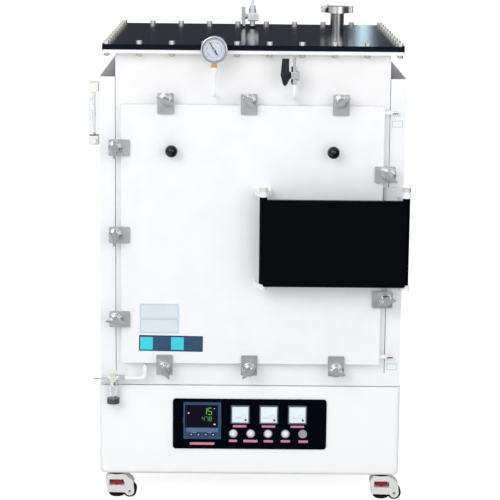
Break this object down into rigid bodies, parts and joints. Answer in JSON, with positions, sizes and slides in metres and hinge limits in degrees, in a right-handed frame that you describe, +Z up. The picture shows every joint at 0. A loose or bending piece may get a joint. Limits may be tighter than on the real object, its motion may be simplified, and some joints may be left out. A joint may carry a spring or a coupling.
{
  "type": "box furnace",
  "caption": "Box furnace on levelling casters: clamped swing-arm door, bolted top cover, dial gauge, valves, gas inlet, flow meter and a control panel.",
  "frame": {"origin": "on the floor under the middle of the bounding box", "axes": "+Z up, +Y to the back, the door faces -Y, +X to the right seen from the front"},
  "size_m": [0.802, 0.8845, 1.259],
  "materials": {
    "base_cabinet": "satin white powder coat",
    "base_rear_panel": "satin white powder coat",
    "outer_casing": "satin white powder coat",
    "vacuum_chamber": "satin white enamel",
    "cover_plate": "gloss black",
    "cover_bolts": "zinc plated",
    "insulation_lining": "vacuum-formed fibre board",
    "heating_elements": "oxidised",
    "thermocouple": "satin",
    "arm_bracket": "satin white powder coat",
    "swing_arm": "satin black",
    "door_panel": "satin white powder coat",
    "door_plug": "vacuum-formed fibre board",
    "door_seal": "matt silicone rubber",
    "door_lugs": "brushed",
    "door_pulls": "moulded black",
    "water_nozzles": "turned",
    "control_panel": "satin black",
    "temperature_controller": "moulded",
    "panel_meters": "moulded",
    "bezels_and_lamps": "plated",
    "push_button_1": "moulded",
    "push_button_2": "moulded",
    "key_switch": "plated",
    "power_unit": "varnished laminations",
    "gauge_body": "brushed case, painted pipe",
    "gauge_pointer": "matt black",
    "vent_valve_body": "machined, painted pipe",
    "vent_valve_handle": "moulded nylon",
    "top_valve_body": "machined",
    "top_valve_handle": "stamped",
    "vacuum_port": "turned",
    "port_clamp": "as cast",
    "gas_inlet": "machined, painted pipe",
    "needle_valve_knob": "knurled",
    "flow_meter": "clear block with moulded ends",
    "flow_meter_knob": "moulded",
    "clamp_knob_top_1": "polished",
    "clamp_knob_top_2": "polished",
    "clamp_knob_top_3": "polished",
    "clamp_knob_bottom_1": "polished",
    "clamp_knob_bottom_2": "polished",
    "clamp_knob_bottom_3": "polished",
    "clamp_knob_left_1": "polished",
    "clamp_knob_left_2": "polished",
    "clamp_knob_left_3": "polished",
    "clamp_knob_right_1": "polished",
    "clamp_knob_right_2": "polished",
    "caster_front_left_fork": "ivory die casting",
    "caster_front_left_wheel": "nylon tread",
    "caster_front_left_leveller": "red thumb wheel, black pad",
    "caster_front_right_fork": "ivory die casting",
    "caster_front_right_wheel": "nylon tread",
    "caster_front_right_leveller": "red thumb wheel, black pad",
    "caster_rear_left_fork": "ivory die casting",
    "caster_rear_left_wheel": "nylon tread",
    "caster_rear_left_leveller": "red thumb wheel, black pad",
    "caster_rear_right_fork": "ivory die casting",
    "caster_rear_right_wheel": "nylon tread",
    "caster_rear_right_leveller": "red thumb wheel, black pad"
  },
  "bodies": {
    "cabinet": {"base_cabinet": "base_cabinet", "base_rear_panel": "base_rear_panel", "outer_casing": "outer_casing", "vacuum_chamber": "vacuum_chamber", "cover_plate": "cover_plate", "cover_bolts": "cover_bolts", "insulation_lining": "insulation_lining", "heating_elements": "heating_elements", "thermocouple": "thermocouple", "arm_bracket": "arm_bracket", "control_panel": "control_panel", "temperature_controller": "temperature_controller", "panel_meters": "panel_meters", "bezels_and_lamps": "bezels_and_lamps", "power_unit": "power_unit", "gauge_body": "gauge_body", "vent_valve_body": "vent_valve_body", "top_valve_body": "top_valve_body", "vacuum_port": "vacuum_port", "port_clamp": "port_clamp", "gas_inlet": "gas_inlet", "flow_meter": "flow_meter"},
    "arm": {"swing_arm": "swing_arm"},
    "door": {"door_panel": "door_panel", "door_seal": "door_seal", "door_plug": "door_plug", "door_lugs": "door_lugs", "door_pulls": "door_pulls", "water_nozzles": "water_nozzles"},
    "clamp_knob_top_1": {"clamp_knob_top_1": "clamp_knob_top_1"},
    "clamp_knob_top_2": {"clamp_knob_top_2": "clamp_knob_top_2"},
    "clamp_knob_top_3": {"clamp_knob_top_3": "clamp_knob_top_3"},
    "clamp_knob_bottom_1": {"clamp_knob_bottom_1": "clamp_knob_bottom_1"},
    "clamp_knob_bottom_2": {"clamp_knob_bottom_2": "clamp_knob_bottom_2"},
    "clamp_knob_bottom_3": {"clamp_knob_bottom_3": "clamp_knob_bottom_3"},
    "clamp_knob_left_1": {"clamp_knob_left_1": "clamp_knob_left_1"},
    "clamp_knob_left_2": {"clamp_knob_left_2": "clamp_knob_left_2"},
    "clamp_knob_left_3": {"clamp_knob_left_3": "clamp_knob_left_3"},
    "clamp_knob_right_1": {"clamp_knob_right_1": "clamp_knob_right_1"},
    "clamp_knob_right_2": {"clamp_knob_right_2": "clamp_knob_right_2"},
    "push_button_1": {"push_button_1": "push_button_1"},
    "push_button_2": {"push_button_2": "push_button_2"},
    "key_switch": {"key_switch": "key_switch"},
    "gauge_pointer": {"gauge_pointer": "gauge_pointer"},
    "vent_valve_handle": {"vent_valve_handle": "vent_valve_handle"},
    "top_valve_handle": {"top_valve_handle": "top_valve_handle"},
    "needle_valve_knob": {"needle_valve_knob": "needle_valve_knob"},
    "flow_meter_knob": {"flow_meter_knob": "flow_meter_knob"},
    "caster_front_left_fork": {"caster_front_left_fork": "caster_front_left_fork"},
    "caster_front_left_wheel": {"caster_front_left_wheel": "caster_front_left_wheel"},
    "caster_front_left_leveller": {"caster_front_left_leveller": "caster_front_left_leveller"},
    "caster_front_right_fork": {"caster_front_right_fork": "caster_front_right_fork"},
    "caster_front_right_wheel": {"caster_front_right_wheel": "caster_front_right_wheel"},
    "caster_front_right_leveller": {"caster_front_right_leveller": "caster_front_right_leveller"},
    "caster_rear_left_fork": {"caster_rear_left_fork": "caster_rear_left_fork"},
    "caster_rear_left_wheel": {"caster_rear_left_wheel": "caster_rear_left_wheel"},
    "caster_rear_left_leveller": {"caster_rear_left_leveller": "caster_rear_left_leveller"},
    "caster_rear_right_fork": {"caster_rear_right_fork": "caster_rear_right_fork"},
    "caster_rear_right_wheel": {"caster_rear_right_wheel": "caster_rear_right_wheel"},
    "caster_rear_right_leveller": {"caster_rear_right_leveller": "caster_rear_right_leveller"}
  },
  "joints": [
    {"name": "arm_swing", "type": "hinge", "parent": "cabinet", "child": "arm", "pos_m": [0.38, -0.425, 0.69625], "axis": [0, 0, 1], "range_deg": [0, 110]},
    {"name": "door_turn", "type": "hinge", "parent": "arm", "child": "door", "pos_m": [0.028, -0.425, 0.69625], "axis": [0, 0, 1], "range_deg": [-5.5, 0]},
    {"name": "clamp_top_1_turn", "type": "hinge", "parent": "door", "child": "clamp_knob_top_1", "pos_m": [-0.215, -0.385, 1.0375], "axis": [0, -1, 0], "continuous": true},
    {"name": "clamp_top_2_turn", "type": "hinge", "parent": "door", "child": "clamp_knob_top_2", "pos_m": [-0.009, -0.385, 1.0375], "axis": [0, -1, 0], "continuous": true},
    {"name": "clamp_top_3_turn", "type": "hinge", "parent": "door", "child": "clamp_knob_top_3", "pos_m": [0.218, -0.385, 1.0375], "axis": [0, -1, 0], "continuous": true},
    {"name": "clamp_bottom_1_turn", "type": "hinge", "parent": "door", "child": "clamp_knob_bottom_1", "pos_m": [-0.217, -0.385, 0.3555], "axis": [0, -1, 0], "continuous": true},
    {"name": "clamp_bottom_2_turn", "type": "hinge", "parent": "door", "child": "clamp_knob_bottom_2", "pos_m": [-0.003, -0.385, 0.3555], "axis": [0, -1, 0], "continuous": true},
    {"name": "clamp_bottom_3_turn", "type": "hinge", "parent": "door", "child": "clamp_knob_bottom_3", "pos_m": [0.217, -0.385, 0.3555], "axis": [0, -1, 0], "continuous": true},
    {"name": "clamp_left_1_turn", "type": "hinge", "parent": "door", "child": "clamp_knob_left_1", "pos_m": [-0.3395, -0.385, 0.9175], "axis": [0, -1, 0], "continuous": true},
    {"name": "clamp_left_2_turn", "type": "hinge", "parent": "door", "child": "clamp_knob_left_2", "pos_m": [-0.3395, -0.385, 0.698], "axis": [0, -1, 0], "continuous": true},
    {"name": "clamp_left_3_turn", "type": "hinge", "parent": "door", "child": "clamp_knob_left_3", "pos_m": [-0.3395, -0.385, 0.4825], "axis": [0, -1, 0], "continuous": true},
    {"name": "clamp_right_1_turn", "type": "hinge", "parent": "door", "child": "clamp_knob_right_1", "pos_m": [0.3395, -0.385, 0.8555], "axis": [0, -1, 0], "continuous": true},
    {"name": "clamp_right_2_turn", "type": "hinge", "parent": "door", "child": "clamp_knob_right_2", "pos_m": [0.3395, -0.385, 0.5375], "axis": [0, -1, 0], "continuous": true},
    {"name": "gauge_pointer_turn", "type": "hinge", "parent": "cabinet", "child": "gauge_pointer", "pos_m": [-0.096, -0.406, 1.1635], "axis": [0, -1, 0], "range_deg": [-168, 102]},
    {"name": "vent_valve_turn", "type": "hinge", "parent": "cabinet", "child": "vent_valve_handle", "pos_m": [0.09, -0.395, 1.102], "axis": [1, 0, 0], "range_deg": [-90, 0]},
    {"name": "top_valve_turn", "type": "hinge", "parent": "cabinet", "child": "top_valve_handle", "pos_m": [-0.026, 0.226, 1.204], "axis": [1, 0, 0], "range_deg": [-90, 0]},
    {"name": "needle_valve_turn", "type": "hinge", "parent": "cabinet", "child": "needle_valve_knob", "pos_m": [-0.347, -0.369, 0.27], "axis": [0, 0, 1], "continuous": true},
    {"name": "flow_meter_turn", "type": "hinge", "parent": "cabinet", "child": "flow_meter_knob", "pos_m": [-0.3965, -0.333, 0.9285], "axis": [0, -1, 0], "continuous": true},
    {"name": "push_button_1_press", "type": "slide", "parent": "cabinet", "child": "push_button_1", "axis": [0, 1, 0], "range_m": [0, 0.003], "stiffness_N_per_m": 400, "springref_m": -0.002},
    {"name": "push_button_2_press", "type": "slide", "parent": "cabinet", "child": "push_button_2", "axis": [0, 1, 0], "range_m": [0, 0.003], "stiffness_N_per_m": 400, "springref_m": -0.002},
    {"name": "key_switch_turn", "type": "hinge", "parent": "cabinet", "child": "key_switch", "pos_m": [0.1361, -0.345, 0.1795], "axis": [0, 1, 0], "range_deg": [0, 60]},
    {"name": "caster_front_left_swivel", "type": "hinge", "parent": "cabinet", "child": "caster_front_left_fork", "pos_m": [-0.342, -0.315, 0.066], "axis": [0, 0, 1], "continuous": true},
    {"name": "caster_front_left_roll", "type": "hinge", "parent": "caster_front_left_fork", "child": "caster_front_left_wheel", "pos_m": [-0.3085, -0.315, 0.018], "axis": [0, 1, 0], "continuous": true},
    {"name": "caster_front_left_level", "type": "slide", "parent": "caster_front_left_fork", "child": "caster_front_left_leveller", "axis": [0, 0, -1], "range_m": [0, 0.0055]},
    {"name": "caster_front_right_swivel", "type": "hinge", "parent": "cabinet", "child": "caster_front_right_fork", "pos_m": [0.342, -0.315, 0.066], "axis": [0, 0, 1], "continuous": true},
    {"name": "caster_front_right_roll", "type": "hinge", "parent": "caster_front_right_fork", "child": "caster_front_right_wheel", "pos_m": [0.3755, -0.315, 0.018], "axis": [0, 1, 0], "continuous": true},
    {"name": "caster_front_right_level", "type": "slide", "parent": "caster_front_right_fork", "child": "caster_front_right_leveller", "axis": [0, 0, -1], "range_m": [0, 0.0055]},
    {"name": "caster_rear_left_swivel", "type": "hinge", "parent": "cabinet", "child": "caster_rear_left_fork", "pos_m": [-0.342, 0.387, 0.066], "axis": [0, 0, 1], "continuous": true},
    {"name": "caster_rear_left_roll", "type": "hinge", "parent": "caster_rear_left_fork", "child": "caster_rear_left_wheel", "pos_m": [-0.3085, 0.387, 0.018], "axis": [0, 1, 0], "continuous": true},
    {"name": "caster_rear_left_level", "type": "slide", "parent": "caster_rear_left_fork", "child": "caster_rear_left_leveller", "axis": [0, 0, -1], "range_m": [0, 0.0055]},
    {"name": "caster_rear_right_swivel", "type": "hinge", "parent": "cabinet", "child": "caster_rear_right_fork", "pos_m": [0.342, 0.387, 0.066], "axis": [0, 0, 1], "continuous": true},
    {"name": "caster_rear_right_roll", "type": "hinge", "parent": "caster_rear_right_fork", "child": "caster_rear_right_wheel", "pos_m": [0.3755, 0.387, 0.018], "axis": [0, 1, 0], "continuous": true},
    {"name": "caster_rear_right_level", "type": "slide", "parent": "caster_rear_right_fork", "child": "caster_rear_right_leveller", "axis": [0, 0, -1], "range_m": [0, 0.0055]}
  ],
  "couplings": [
    {"joint": "door_turn", "follows": "arm_swing", "ratio": -0.05}
  ]
}
